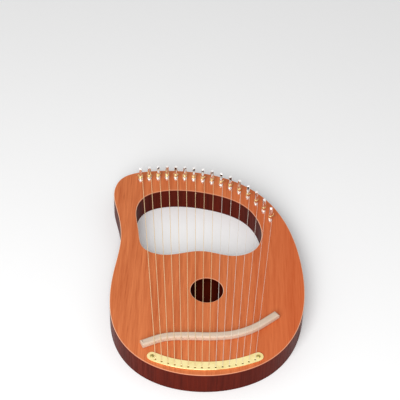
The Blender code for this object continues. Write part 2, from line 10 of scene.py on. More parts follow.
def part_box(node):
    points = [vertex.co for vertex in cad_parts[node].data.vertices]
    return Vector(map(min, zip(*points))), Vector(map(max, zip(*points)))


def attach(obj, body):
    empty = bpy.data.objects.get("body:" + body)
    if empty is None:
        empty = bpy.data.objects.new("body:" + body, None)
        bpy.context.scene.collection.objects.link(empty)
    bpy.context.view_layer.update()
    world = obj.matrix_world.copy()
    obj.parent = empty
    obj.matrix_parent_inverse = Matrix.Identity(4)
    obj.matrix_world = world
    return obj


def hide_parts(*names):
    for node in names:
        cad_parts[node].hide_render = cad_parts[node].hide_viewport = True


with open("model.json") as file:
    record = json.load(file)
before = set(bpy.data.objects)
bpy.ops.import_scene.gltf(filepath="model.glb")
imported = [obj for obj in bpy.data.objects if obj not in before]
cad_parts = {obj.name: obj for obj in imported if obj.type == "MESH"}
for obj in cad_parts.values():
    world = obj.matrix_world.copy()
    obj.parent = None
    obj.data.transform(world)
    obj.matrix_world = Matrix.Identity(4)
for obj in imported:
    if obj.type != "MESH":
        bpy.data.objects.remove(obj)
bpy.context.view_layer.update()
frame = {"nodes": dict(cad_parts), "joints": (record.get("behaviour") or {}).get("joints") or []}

# Camera
# The instrument lies on its back and is seen from its tail end, through a long lens two metres
# away and 44 degrees above the table, with the camera tipped a little to one side.
LOOK_AT = Vector((-0.0115, 0.1445, 0.0380))
CAMERA_DISTANCE = 2.0829
CAMERA_ELEVATION = math.radians(43.7)
CAMERA_TIP = math.radians(2.0)
SENSOR_WIDTH = 36.0
FOCAL_LENGTH = 117.0

lens = bpy.data.cameras.new("camera")
lens.sensor_width = SENSOR_WIDTH
lens.lens = FOCAL_LENGTH
camera = bpy.data.objects.new("camera", lens)
bpy.context.scene.collection.objects.link(camera)
away = Vector((0.0, -math.cos(CAMERA_ELEVATION), math.sin(CAMERA_ELEVATION)))
camera.matrix_world = (
    Matrix.Translation(LOOK_AT + away * CAMERA_DISTANCE)
    @ Matrix.Rotation(math.pi / 2 - CAMERA_ELEVATION, 4, "X")
    @ Matrix.Rotation(CAMERA_TIP, 4, "Z")
)
bpy.context.scene.camera = camera
bpy.context.scene.view_settings.view_transform = "Standard"

# Light, floor and backdrop
# One large soft lamp stands in front and above, a little to the left, and the room fills in
# evenly. The floor is pale paper. Where they are seen or mirrored, the room is white and the
# floor a little lighter.
LAMP_PLACE = Vector((-0.45, -1.80, 1.50))
LAMP_AIM = Vector((0.0, 0.0, 0.03))
LAMP_SIDE = 1.40
LAMP_WATTS = 51.0
ROOM_WHITE = (1.0, 1.0, 1.0, 1.0)
ROOM_FILL = 0.43
FLOOR_SIDE = 12.0
FLOOR_DROP = 0.0004
FLOOR_COLOUR = (0.94, 0.94, 0.94, 1.0)
FLOOR_UNLIT = (0.0, 0.0, 0.0, 1.0)
FLOOR_GLOW = 0.10
FLOOR_ROUGHNESS = 0.9

lamp_data = bpy.data.lights.new("lamp", "AREA")
lamp_data.size = LAMP_SIDE
lamp_data.energy = LAMP_WATTS
lamp = bpy.data.objects.new("lamp", lamp_data)
bpy.context.scene.collection.objects.link(lamp)
lamp.location = LAMP_PLACE
lamp.rotation_mode = "QUATERNION"
lamp.rotation_quaternion = (LAMP_PLACE - LAMP_AIM).to_track_quat("Z", "Y")


def add_node(tree, kind, **settings):
    """A shader node. Settings that are sockets set their value, and the others its options."""
    made = tree.nodes.new(kind)
    for name, value in settings.items():
        if hasattr(made, name):
            setattr(made, name, value)
        else:
            made.inputs[name.replace("_", " ")].default_value = value
    return made


def blend(tree, share, first, second):
    """The colour this share of the way from the first to the second, each a value or an output."""
    made = add_node(tree, "ShaderNodeMix", data_type="RGBA")
    for socket, value in zip((made.inputs[0], made.inputs[6], made.inputs[7]), (share, first, second)):
        if isinstance(value, bpy.types.NodeSocket):
            tree.links.new(value, socket)
        else:
            socket.default_value = value
    return made.outputs[2]


def ramp(tree, value, start, stop, first=0.0, last=1.0):
    """Runs from first to last while the value runs from start to stop."""
    made = add_node(
        tree, "ShaderNodeMapRange", From_Min=start, From_Max=stop, To_Min=first, To_Max=last
    )
    tree.links.new(value, made.inputs["Value"])
    return made.outputs["Result"]


def seen_or_mirrored(tree):
    """One for rays from the camera and for mirrored or refracted ones, otherwise none."""
    path = tree.nodes.new("ShaderNodeLightPath")
    glossy = add_node(tree, "ShaderNodeMath", operation="MAXIMUM")
    either = add_node(tree, "ShaderNodeMath", operation="MAXIMUM")
    tree.links.new(path.outputs["Is Camera Ray"], glossy.inputs[0])
    tree.links.new(path.outputs["Is Glossy Ray"], glossy.inputs[1])
    tree.links.new(glossy.outputs[0], either.inputs[0])
    tree.links.new(path.outputs["Is Transmission Ray"], either.inputs[1])
    return either.outputs[0]


def new_material(name, **values):
    """A material, its node tree and its Principled shader, with these plain values."""
    made = bpy.data.materials.new(name)
    made.use_nodes = True
    shader = made.node_tree.nodes["Principled BSDF"]
    for label, value in values.items():
        shader.inputs[label.replace("_", " ")].default_value = value
    return made, made.node_tree, shader


room = bpy.data.worlds.new("room")
room.use_nodes = True
bpy.context.scene.world = room
backdrop = room.node_tree.nodes["Background"]
backdrop.inputs["Color"].default_value = ROOM_WHITE
fill = ramp(room.node_tree, seen_or_mirrored(room.node_tree), 0.0, 1.0, ROOM_FILL, 1.0)
room.node_tree.links.new(fill, backdrop.inputs["Strength"])

paper, paper_tree, paper_shader = new_material(
    "pale paper", Base_Color=FLOOR_COLOUR, Roughness=FLOOR_ROUGHNESS, Emission_Strength=FLOOR_GLOW
)
glow = blend(paper_tree, seen_or_mirrored(paper_tree), FLOOR_UNLIT, FLOOR_COLOUR)
paper_tree.links.new(glow, paper_shader.inputs["Emission Color"])
bpy.ops.mesh.primitive_plane_add(size=FLOOR_SIDE)
floor = bpy.context.object
floor.name = "floor"
floor.location.z = -FLOOR_DROP
floor.data.materials.append(paper)

# Soundboard
# A flat board of orange-brown mahogany with its grain along the strings, cut out for the window,
# the sound hole and the string slot, eased by hand along its edges, and lacquered satin. It is
# redder towards the treble side. Its rounded edges are paler, partly lighter wood and partly a
# painted highlight, and the painted highlight is weaker where they face the tail.
BOARD_EASE = 0.0009
FACE_ORANGE = (0.740, 0.220, 0.076, 1.0)
FACE_BROWN = (0.530, 0.122, 0.036, 1.0)
FACE_PORE = (0.300, 0.045, 0.012, 1.0)
# The pale rounded edge: partly lighter wood, partly a painted highlight.
FACE_EDGE_AND_HIGHLIGHT = (0.960, 0.600, 0.410, 1.0)
FACE_STREAKS = (560.0, 24.0, 560.0)
FACE_TONES = (110.0, 5.0, 110.0)
FACE_PORES = 0.50
FACE_RED = (0.600, 0.086, 0.018, 1.0)
RED_FROM = 0.03
RED_FULL = 0.17
RED_SHARE = 0.60
SIDE_LIGHT = (0.120, 0.010, 0.003, 1.0)
FACE_GLOSS = 0.12
PORE_DEPTH = 0.00008
PORE_RELIEF = 0.35
GRAIN_ROUGHNESS = 0.6
FINE_DETAIL = 3.0
FINE_SPREAD = (0.32, 0.68)
BROAD_DETAIL = 2.0
BROAD_SPREAD = (0.35, 0.65)
BROAD_SHARE = 0.45
PORE_DETAIL = 6.0
PORE_SPREAD = (0.62, 0.74)
SATIN = (0.38, 0.55)
EDGE_LEVEL = (0.955, 0.999)
EDGE_UPRIGHT = (0.10, 0.45)
# The edge's painted highlight is painted weaker where the edge faces the tail.
TAILWARD_HIGHLIGHT_FADE = (-0.40, -0.10)
TAILWARD_HIGHLIGHT_SHARE = 0.30
SMALLEST_CUT = 0.0060
OUTLINE_STEPS = 4
EDGE_STEPS = 2
WELD = 0.00001
SMOOTH_EDGE = math.radians(40.0)
CORNER = math.radians(60.0)


def new_group(name, inputs, outputs):
    """A shader node group with these sockets, and its two end nodes."""
    group = bpy.data.node_groups.new(name, "ShaderNodeTree")
    for label, (kind, value) in inputs.items():
        socket = group.interface.new_socket(label, in_out="INPUT", socket_type=kind)
        socket.default_value = value
    for label, kind in outputs.items():
        group.interface.new_socket(label, in_out="OUTPUT", socket_type=kind)
    return group, group.nodes.new("NodeGroupInput"), group.nodes.new("NodeGroupOutput")


def use_group(tree, group, **values):
    made = tree.nodes.new("ShaderNodeGroup")
    made.node_tree = group
    for name, value in values.items():
        made.inputs[name.replace("_", " ")].default_value = value
    return made


def stretched_noise(tree, stretch, detail, roughness):
    """Noise over the piece, stretched by an output that gives its rate each way."""
    place = tree.nodes.new("ShaderNodeTexCoord")
    scaled = add_node(tree, "ShaderNodeVectorMath", operation="MULTIPLY")
    tree.links.new(place.outputs["Object"], scaled.inputs[0])
    tree.links.new(stretch, scaled.inputs[1])
    noise = add_node(tree, "ShaderNodeTexNoise", Scale=1.0, Detail=detail, Roughness=roughness)
    tree.links.new(scaled.outputs[0], noise.inputs["Vector"])
    return noise.outputs["Fac"]


def grain_group():
    """Wood grain: Streaks gives the streaks' rate a metre each way, and Tones a broader one."""
    group, start, end = new_group(
        "wood grain",
        {
            "Light": ("NodeSocketColor", (1.0, 1.0, 1.0, 1.0)),
            "Dark": ("NodeSocketColor", (0.5, 0.5, 0.5, 1.0)),
            "Pore": ("NodeSocketColor", (0.1, 0.1, 0.1, 1.0)),
            "Streaks": ("NodeSocketVector", (700.0, 40.0, 700.0)),
            "Tones": ("NodeSocketVector", (55.0, 5.0, 55.0)),
            "Pores": ("NodeSocketFloat", 0.5),
        },
        {"Color": "NodeSocketColor", "Roughness": "NodeSocketFloat", "Height": "NodeSocketFloat"},
    )
    link = group.links.new

    def spread(socket, detail, ends):
        noise = stretched_noise(group, start.outputs[socket], detail, GRAIN_ROUGHNESS)
        return ramp(group, noise, *ends)

    fine = spread("Streaks", FINE_DETAIL, FINE_SPREAD)
    broad = spread("Tones", BROAD_DETAIL, BROAD_SPREAD)
    pores = spread("Streaks", PORE_DETAIL, PORE_SPREAD)
    both = add_node(group, "ShaderNodeMix", data_type="FLOAT", Factor=BROAD_SHARE)
    link(fine, both.inputs[2])
    link(broad, both.inputs[3])
    tone = blend(group, both.outputs[0], start.outputs["Light"], start.outputs["Dark"])
    open_here = add_node(group, "ShaderNodeMath", operation="MULTIPLY")
    link(pores, open_here.inputs[0])
    link(start.outputs["Pores"], open_here.inputs[1])
    link(blend(group, open_here.outputs[0], tone, start.outputs["Pore"]), end.inputs["Color"])
    link(ramp(group, fine, 0.0, 1.0, *SATIN), end.inputs["Roughness"])
    link(ramp(group, open_here.outputs[0], 0.0, 1.0, 1.0, 0.0), end.inputs["Height"])
    return group


def eased_edge_painted_highlight_group():
    """Shows Color on the level face, Side on an upright one, and Edge on the rounding between them,
    which is partly lighter wood and partly a painted highlight. Edge is mixed with Color where it
    faces the tail, so that the painted highlight is weaker there. Each range is of one part of the
    surface's normal."""
    group, start, end = new_group(
        "eased edge, painted highlight",
        {
            "Color": ("NodeSocketColor", (0.5, 0.5, 0.5, 1.0)),
            "Edge": ("NodeSocketColor", (1.0, 1.0, 1.0, 1.0)),
            "Side": ("NodeSocketColor", (0.2, 0.2, 0.2, 1.0)),
        },
        {"Color": "NodeSocketColor"},
    )
    surface = group.nodes.new("ShaderNodeNewGeometry")
    faces = group.nodes.new("ShaderNodeSeparateXYZ")
    group.links.new(surface.outputs["Normal"], faces.inputs[0])
    level = ramp(group, faces.outputs["Z"], *EDGE_LEVEL)
    upright = ramp(group, faces.outputs["Z"], *EDGE_UPRIGHT)
    # Painted highlight on the edge, made weaker where the edge faces the tail.
    highlight_fade = ramp(group, faces.outputs["Y"], *TAILWARD_HIGHLIGHT_FADE, TAILWARD_HIGHLIGHT_SHARE, 1.0)
    pale = blend(group, highlight_fade, start.outputs["Color"], start.outputs["Edge"])
    sided = blend(group, upright, start.outputs["Side"], pale)
    group.links.new(blend(group, level, sided, start.outputs["Color"]), end.inputs["Color"])
    return group


WOOD_GRAIN = grain_group()
EASED_EDGE_PAINTED_HIGHLIGHT = eased_edge_painted_highlight_group()


def raise_surface(tree, shader, height, distance, strength):
    bump = add_node(tree, "ShaderNodeBump", Distance=distance, Strength=strength)
    tree.links.new(height, bump.inputs["Height"])
    tree.links.new(bump.outputs["Normal"], shader.inputs["Normal"])


def wood(name, gloss, depth, relief, **grain_values):
    """A wood, with its node tree, its shader and its grain node."""
    made, tree, shader = new_material(name, Specular_IOR_Level=gloss)
    grain = use_group(tree, WOOD_GRAIN, **grain_values)
    tree.links.new(grain.outputs["Color"], shader.inputs["Base Color"])
    tree.links.new(grain.outputs["Roughness"], shader.inputs["Roughness"])
    raise_surface(tree, shader, grain.outputs["Height"], depth, relief)
    return made, tree, shader, grain


def face_wood():
    made, tree, shader, grain = wood(
        "mahogany face", FACE_GLOSS, PORE_DEPTH, PORE_RELIEF, Light=FACE_ORANGE, Dark=FACE_BROWN,
        Pore=FACE_PORE, Streaks=FACE_STREAKS, Tones=FACE_TONES, Pores=FACE_PORES,
    )
    place = tree.nodes.new("ShaderNodeTexCoord")
    across = tree.nodes.new("ShaderNodeSeparateXYZ")
    tree.links.new(place.outputs["Object"], across.inputs[0])
    redness = ramp(tree, across.outputs["X"], RED_FROM, RED_FULL, 0.0, RED_SHARE)
    # The pale rounded edge is partly lighter wood and partly a painted highlight.
    edge = use_group(tree, EASED_EDGE_PAINTED_HIGHLIGHT, Edge=FACE_EDGE_AND_HIGHLIGHT, Side=SIDE_LIGHT)
    tree.links.new(blend(tree, redness, grain.outputs["Color"], FACE_RED), edge.inputs["Color"])
    tree.links.new(edge.outputs["Color"], shader.inputs["Base Color"])
    return made


def plan_loops(node):
    """The closed outlines of the lowest flat face of a CAD node, each an array of points."""
    shape = bmesh.new()
    shape.from_mesh(frame["nodes"][node].data)
    bmesh.ops.remove_doubles(shape, verts=shape.verts, dist=WELD)
    bottom = min(v.co.z for v in shape.verts)
    flat = {f for f in shape.faces if max(v.co.z for v in f.verts) < bottom + WELD}
    border = [e for e in shape.edges if len(flat.intersection(e.link_faces)) == 1]
    following = {}
    for edge in border:
        for vert, other in (edge.verts, reversed(edge.verts)):
            following.setdefault(vert, []).append(other)
    loops = []
    left = set(following)
    while left:
        first = min(left, key=lambda v: v.index)
        loop = [first]
        before, here = None, first
        while True:
            step = [v for v in following[here] if v is not before][0]
            before, here = here, step
            if here is first:
                break
            loop.append(here)
        left -= set(loop)
        loops.append(np.array([v.co.xy for v in loop]))
    shape.free()
    return loops


def add_piece(name, data, node, body, look, place=(0.0, 0.0, 0.0), turn=0.0):
    """A new piece that stands for a CAD node and rides on its body."""
    made = bpy.data.objects.new(name, data)
    bpy.context.scene.collection.objects.link(made)
    made.location = place
    made.rotation_euler.z = turn
    data.materials.clear()
    data.materials.append(look)
    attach(made, body)
    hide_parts(node)
    return made


def board(name, node, low, high, ease, look, smallest_cut=0.0):
    """A board with the plan of a CAD node, its outlines smooth and its edges rounded. Cuts under
    the smallest are left to what stands in them."""
    plan = bpy.data.curves.new(name, "CURVE")
    plan.dimensions = "2D"
    plan.fill_mode = "BOTH"
    plan.resolution_u = OUTLINE_STEPS
    plan.bevel_depth = ease
    plan.bevel_resolution = EDGE_STEPS
    plan.offset = -ease
    plan.extrude = (high - low) / 2 - ease
    for loop in plan_loops(node):
        if np.ptp(loop, axis=0).max() < smallest_cut:
            continue
        spline = plan.splines.new("BEZIER")
        spline.bezier_points.add(len(loop) - 1)
        spline.use_cyclic_u = True
        ahead = np.roll(loop, -1, 0) - loop
        bearings = np.arctan2(ahead[:, 1], ahead[:, 0])
        turns = np.abs((bearings - np.roll(bearings, 1) + math.pi) % (2 * math.pi) - math.pi)
        for point, (x, y), turn in zip(spline.bezier_points, loop, turns):
            point.co = (x, y, 0.0)
            kind = "VECTOR" if turn > CORNER else "AUTO"
            point.handle_left_type = kind
            point.handle_right_type = kind
    draft = bpy.data.objects.new(name + "_plan", plan)
    bpy.context.scene.collection.objects.link(draft)
    graph = bpy.context.evaluated_depsgraph_get()
    data = bpy.data.meshes.new_from_object(draft.evaluated_get(graph))
    bpy.data.objects.remove(draft, do_unlink=True)
    shape = bmesh.new()
    shape.from_mesh(data)
    bmesh.ops.remove_doubles(shape, verts=shape.verts, dist=WELD)
    bmesh.ops.recalc_face_normals(shape, faces=shape.faces)
    bmesh.ops.translate(shape, verts=shape.verts, vec=(0.0, 0.0, (low + high) / 2))
    shape.to_mesh(data)
    shape.free()
    data.shade_smooth()
    data.set_sharp_from_angle(angle=SMOOTH_EDGE)
    made = add_piece(name, data, node, "body", look)
    even = made.modifiers.new("even", "WEIGHTED_NORMAL")
    even.keep_sharp = True
    return made


face_low, face_high = (corner.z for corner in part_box("soundboard"))
board(
    "soundboard_face", "soundboard", face_low, face_high, BOARD_EASE, face_wood(),
    SMALLEST_CUT,
)

# Sides, window wall and back
# The rim is glued between the two boards, and so is the wall round the window. They and the back
# are mahogany stained dark red-brown, with grain that runs up the walls and along the back.
SIDE_DARK = (0.055, 0.005, 0.002, 1.0)
SIDE_PORE = (0.040, 0.005, 0.002, 1.0)
SIDE_PORES = 0.60
SIDE_GLOSS = 0.06
WALL_STREAKS = (420.0, 420.0, 16.0)
WALL_TONES = (60.0, 60.0, 4.0)
WALL_EASE = 0.0002
BACK_STREAKS = (420.0, 22.0, 420.0)
BACK_TONES = (40.0, 3.0, 40.0)
BACK_EASE = 0.0012


def side_wood(name, streaks, tones):
    return wood(
        name, SIDE_GLOSS, PORE_DEPTH, PORE_RELIEF, Light=SIDE_LIGHT, Dark=SIDE_DARK, Pore=SIDE_PORE,
        Streaks=streaks, Tones=tones, Pores=SIDE_PORES,
    )[0]


back_low, back_high = (corner.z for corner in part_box("back_plate"))
wall_wood = side_wood("mahogany wall", WALL_STREAKS, WALL_TONES)
back_wood = side_wood("mahogany back", BACK_STREAKS, BACK_TONES)
board("rim_wall", "rim", back_high, face_low, WALL_EASE, wall_wood)
board("window_wall", "window_liner", back_high, face_low, WALL_EASE, wall_wood)
board("back_board", "back_plate", back_low, back_high, BACK_EASE, back_wood)

# Blocks and braces inside the box
# Bare hardwood, sawn square and glued in: the pin block under the pins, the tail block under the
# anchor plate, and two braces across the soundboard.
BARE_LIGHT = (0.520, 0.340, 0.190, 1.0)
BARE_DARK = (0.380, 0.230, 0.120, 1.0)
BARE_PORE = (0.200, 0.110, 0.055, 1.0)
BARE_PORES = 0.50
BARE_STREAKS = (24.0, 500.0, 500.0)
BARE_TONES = (4.0, 45.0, 45.0)
BARE_GLOSS = 0.20
SAW_DEPTH = 0.0001
SAW_RELIEF = 0.5

bare_wood = wood(
    "bare hardwood", BARE_GLOSS, SAW_DEPTH, SAW_RELIEF, Light=BARE_LIGHT, Dark=BARE_DARK,
    Pore=BARE_PORE, Streaks=BARE_STREAKS, Tones=BARE_TONES, Pores=BARE_PORES,
)[0]
for node in ("pin_block", "tail_block", "brace_upper", "brace_lower"):
    frame["nodes"][node].data.materials.clear()
    frame["nodes"][node].data.materials.append(bare_wood)

# Bridge
# A waved bar of pale maple, sawn to its curve, square at its ends, with rounded edges and a fine
# fleck in the wood. It stands on the soundboard, held down by the strings.
BRIDGE_EASE = 0.0026
MAPLE_LIGHT = (0.690, 0.540, 0.420, 1.0)
MAPLE_DARK = (0.600, 0.450, 0.340, 1.0)
MAPLE_FLECK = (0.480, 0.320, 0.220, 1.0)
MAPLE_FLECKS = 0.50
MAPLE_STREAKS = (260.0, 900.0, 900.0)
MAPLE_TONES = (14.0, 120.0, 120.0)
MAPLE_GLOSS = 0.15
FLECK_DEPTH = 0.00006
FLECK_RELIEF = 0.3

maple = wood(
    "maple", MAPLE_GLOSS, FLECK_DEPTH, FLECK_RELIEF, Light=MAPLE_LIGHT, Dark=MAPLE_DARK,
    Pore=MAPLE_FLECK, Streaks=MAPLE_STREAKS, Tones=MAPLE_TONES, Pores=MAPLE_FLECKS,
)[0]
bridge_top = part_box("bridge")[1].z
board("bridge_bar", "bridge", face_high, bridge_top, BRIDGE_EASE, maple)

# Anchor plate
# A strip of brass bent along the tail edge, with a hole for each string's ball end, brushed along
# its length and held by a screw at each end.
PLATE_EASE = 0.0004
PLATE_BRASS = (0.930, 0.800, 0.400, 1.0)
PLATE_TARNISH = (0.780, 0.600, 0.220, 1.0)
PLATE_BRUSHING = (120.0, 2600.0, 2600.0)
PLATE_FINISH = (0.32, 0.52)
BRUSH_DEPTH = 0.00002
BRUSH_RELIEF = 0.3
BRUSH_DETAIL = 3.0
BRUSH_ROUGHNESS = 0.5
TARNISH_SCALE = 90.0
TARNISH_DETAIL = 4.0
TARNISH_SPREAD = (0.45, 0.75)
TARNISH_SHARE = 0.8


def brushed_group():
    """Streaks left by brushing a sheet of metal, and patches of tarnish."""
    group, start, end = new_group(
        "brushed metal",
        {
            "Bright": ("NodeSocketColor", (1.0, 1.0, 1.0, 1.0)),
            "Dull": ("NodeSocketColor", (0.5, 0.5, 0.5, 1.0)),
            "Brushing": ("NodeSocketVector", (120.0, 2600.0, 2600.0)),
            "Smoothest": ("NodeSocketFloat", 0.22),
            "Roughest": ("NodeSocketFloat", 0.42),
        },
        {"Color": "NodeSocketColor", "Roughness": "NodeSocketFloat", "Height": "NodeSocketFloat"},
    )
    link = group.links.new
    lines = stretched_noise(group, start.outputs["Brushing"], BRUSH_DETAIL, BRUSH_ROUGHNESS)
    place = group.nodes.new("ShaderNodeTexCoord")
    patches = add_node(group, "ShaderNodeTexNoise", Scale=TARNISH_SCALE, Detail=TARNISH_DETAIL)
    link(place.outputs["Object"], patches.inputs["Vector"])
    dulled = ramp(group, patches.outputs["Fac"], *TARNISH_SPREAD, 0.0, TARNISH_SHARE)
    link(blend(group, dulled, start.outputs["Bright"], start.outputs["Dull"]), end.inputs["Color"])
    finish = group.nodes.new("ShaderNodeMapRange")
    link(lines, finish.inputs["Value"])
    link(start.outputs["Smoothest"], finish.inputs["To Min"])
    link(start.outputs["Roughest"], finish.inputs["To Max"])
    link(finish.outputs["Result"], end.inputs["Roughness"])
    link(lines, end.inputs["Height"])
    return group


BRUSHED_METAL = brushed_group()


def metal(name, bright, dull, brushing, finish, depth):
    made, tree, shader = new_material(name, Metallic=1.0)
    brushed = use_group(
        tree, BRUSHED_METAL, Bright=bright, Dull=dull, Brushing=brushing,
        Smoothest=finish[0], Roughest=finish[1],
    )
    tree.links.new(brushed.outputs["Color"], shader.inputs["Base Color"])
    tree.links.new(brushed.outputs["Roughness"], shader.inputs["Roughness"])
    raise_surface(tree, shader, brushed.outputs["Height"], depth, BRUSH_RELIEF)
    return made


plate_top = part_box("anchor_plate")[1].z
plate_brass = metal(
    "brushed brass", PLATE_BRASS, PLATE_TARNISH, PLATE_BRUSHING, PLATE_FINISH, BRUSH_DEPTH
)
board("string_plate", "anchor_plate", face_high, plate_top, PLATE_EASE, plate_brass)

# Screws of the anchor plate
# Two small wood screws with domed heads and a cross recess, plated like brass and gone dull. Each
# holds one end of the plate.
SCREW_HEAD = 0.0031
SCREW_SHANK = 0.0015
SCREW_TIP = 0.0002
SCREW_DOME = 0.0013
SCREW_DEPTH = 0.0120
SCREW_POINT = 0.0030
SCREW_TURNS = {"left": 0.5, "right": 1.1}
CROSS_ARM = 0.0019
CROSS_WIDTH = 0.0008
CROSS_DEPTH = 0.0010
SCREW_BRIGHT = (0.480, 0.400, 0.150, 1.0)
SCREW_DULL = (0.160, 0.120, 0.040, 1.0)
PLAIN_BRUSHING = (900.0, 900.0, 900.0)
PLAIN_FINISH = (0.22, 0.42)
HEAD_RINGS = 6
HEAD_SIDES = 32


def skin(name, rings):
    """A closed mesh through rings of points, from the lowest up."""
    shape = bmesh.new()
    rows = [[shape.verts.new(point) for point in ring] for ring in rings]
    shape.faces.new(rows[0][::-1])
    shape.faces.new(rows[-1])
    for lower, upper in zip(rows, rows[1:]):
        for i in range(len(lower)):
            j = (i + 1) % len(lower)
            shape.faces.new((lower[i], lower[j], upper[j], upper[i]))
    data = bpy.data.meshes.new(name)
    shape.to_mesh(data)
    shape.free()
    return data


def cut_away(data, cutters):
    """The mesh less these objects, which are removed, and smooth but for its sharp edges."""
    blank = bpy.data.objects.new(data.name, data)
    bpy.context.scene.collection.objects.link(blank)
    for cutter in cutters:
        step = blank.modifiers.new("cut", "BOOLEAN")
        step.object = cutter
        step.operation = "DIFFERENCE"
    graph = bpy.context.evaluated_depsgraph_get()
    finished = bpy.data.meshes.new_from_object(blank.evaluated_get(graph))
    for spent in (*cutters, blank):
        bpy.data.objects.remove(spent, do_unlink=True)
    finished.shade_smooth()
    finished.set_sharp_from_angle(angle=SMOOTH_EDGE)
    return finished


def screw_mesh():
    profile = [
        (SCREW_TIP, -SCREW_DEPTH), (SCREW_SHANK, SCREW_POINT - SCREW_DEPTH), (SCREW_SHANK, 0.0)
    ]
    for i in range(HEAD_RINGS, 0, -1):
        slope = math.pi / 2 * i / HEAD_RINGS
        profile.append((SCREW_HEAD * math.sin(slope), SCREW_DOME * math.cos(slope)))
    turns = [2 * math.pi * i / HEAD_SIDES for i in range(HEAD_SIDES)]
    rings = [[(r * math.cos(turn), r * math.sin(turn), z) for turn in turns] for r, z in profile]
    bars = []
    for turn in (0.0, math.pi / 2):
        bpy.ops.mesh.primitive_cube_add(size=1.0)
        bar = bpy.context.object
        bar.scale = (CROSS_ARM * 2, CROSS_WIDTH, CROSS_DEPTH * 2)
        bar.rotation_euler.z = turn
        bar.location.z = SCREW_DOME
        bars.append(bar)
    return cut_away(skin("plate_screw", rings), bars)


screw_data = screw_mesh()
screw_plating = metal(
    "plated screw", SCREW_BRIGHT, SCREW_DULL, PLAIN_BRUSHING, PLAIN_FINISH, BRUSH_DEPTH
)
for side, turn in SCREW_TURNS.items():
    low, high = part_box(f"anchor_screw_{side}")
    add_piece(
        f"plate_screw_{side}", screw_data, f"anchor_screw_{side}", "body",
        screw_plating, ((low.x + high.x) / 2, (low.y + high.y) / 2, plate_top), turn,
    )

# Tuning pins
# Nickel-plated steel pins, driven into the pin block: a round shank with a fine thread at its foot,
# an eye for the wire, and a square head that tapers to a flat end, for the tuning key.
PIN_RADIUS = 0.0025
PIN_FOOT = -0.0060
PIN_STANDOUT = 0.0285
HEAD_START = 0.0165
HEAD_HALF = 0.00215
HEAD_END_HALF = 0.0020
PIN_CHAMFER = 0.0005
THREAD_TOP = 0.0018
THREAD_PITCH = 0.0004
THREAD_DEPTH = 0.0001
PIN_EYE_RADIUS = 0.0008
PIN_EYE_HEIGHT = 0.0130
PIN_EYE_SIDES = 24
PIN_SIDES = 48
ROUND = 2.0
SHOULDER = 4.4
SQUARE = 9.0
NICKEL_BRIGHT = (0.900, 0.880, 0.860, 1.0)
NICKEL_DULL = (0.700, 0.670, 0.640, 1.0)
NICKEL_BRUSHING = (900.0, 900.0, 200.0)
NICKEL_FINISH = (0.06, 0.18)
POLISH_DEPTH = 0.00001


def pin_section(height, half, squareness):
    """A ring of points between a circle and a square."""
    ring = []
    for i in range(PIN_SIDES):
        bearing = 2 * math.pi * (i + 0.5) / PIN_SIDES
        across = abs(math.cos(bearing)) ** squareness + abs(math.sin(bearing)) ** squareness
        radius = half / across ** (1 / squareness)
        ring.append((radius * math.cos(bearing), radius * math.sin(bearing), height))
    return ring


def pin_mesh():
    sections = [(PIN_FOOT, PIN_RADIUS, ROUND)]
    for i in range(round(THREAD_TOP / THREAD_PITCH)):
        sections.append((i * THREAD_PITCH, PIN_RADIUS, ROUND))
        sections.append(((i + 0.5) * THREAD_PITCH, PIN_RADIUS - THREAD_DEPTH, ROUND))
    sections += [
        (THREAD_TOP, PIN_RADIUS, ROUND),
        (HEAD_START - PIN_RADIUS / 2, PIN_RADIUS, ROUND),
        (HEAD_START, (PIN_RADIUS + HEAD_HALF) / 2, SHOULDER),
        (HEAD_START + PIN_RADIUS / 2, HEAD_HALF, SQUARE),
        (PIN_STANDOUT - PIN_CHAMFER, HEAD_END_HALF, SQUARE),
        (PIN_STANDOUT - PIN_CHAMFER / 3, HEAD_END_HALF - PIN_CHAMFER / 3, SQUARE),
        (PIN_STANDOUT, HEAD_END_HALF - PIN_CHAMFER, SQUARE),
    ]
    bpy.ops.mesh.primitive_cylinder_add(
        vertices=PIN_EYE_SIDES, radius=PIN_EYE_RADIUS, depth=PIN_RADIUS * 4,
        location=(0.0, 0.0, PIN_EYE_HEIGHT), rotation=(0.0, math.pi / 2, 0.0),
    )
    eye = bpy.context.object
    rings = [pin_section(*section) for section in sections]
    return cut_away(skin("turned_pin", rings), [eye])


nickel = metal(
    "nickel plate", NICKEL_BRIGHT, NICKEL_DULL, NICKEL_BRUSHING, NICKEL_FINISH, POLISH_DEPTH
)
pin_data = pin_mesh()

# Strings and their windings
# Steel wires, the nine at the bass side wrapped in bronze. Each is held under the anchor plate by
# its ball end and runs over the bridge to its pin, winds round it in two bands and goes out
# through the pin's eye.
BASS_STRING_RADIUS = 0.00048
TREBLE_STRING_RADIUS = 0.00020
WOUND_STRINGS = 9
WIRE_STEPS = 3
STRING_HEIGHT_AT_PIN = 0.0030
CAD_WIRE_SEAT = 0.00015
CAD_TURN_POINTS = 8
TURN_GAP = 0.00003
LOW_TURNS = 3.0
LEAST_TURNS = 6.5
TURN_POINTS = 24
WIRE_END_LENGTH = 0.0030
WIRE_END_POINTS = 4
WIRE_END_SLANT = 0.0003
WIRE_END_BEARINGS = (172, -34, 15, 42, -20, 25, 8, -12, 20, -8, 14, 30, -15, 5, 22, -10)
CURL_RADIUS = 0.0020
CURL_TURN = math.radians(300.0)
BRIDGE_NOTCH = 0.0001
ANCHOR_HOLE_RADIUS = 0.0013
BALL_RADIUS = 0.0018
BALL_DROP = 0.00035
BALL_SHOULDER = 0.00028
BALL_LENGTH = 0.00224
BRONZE = (0.960, 0.760, 0.480, 1.0)
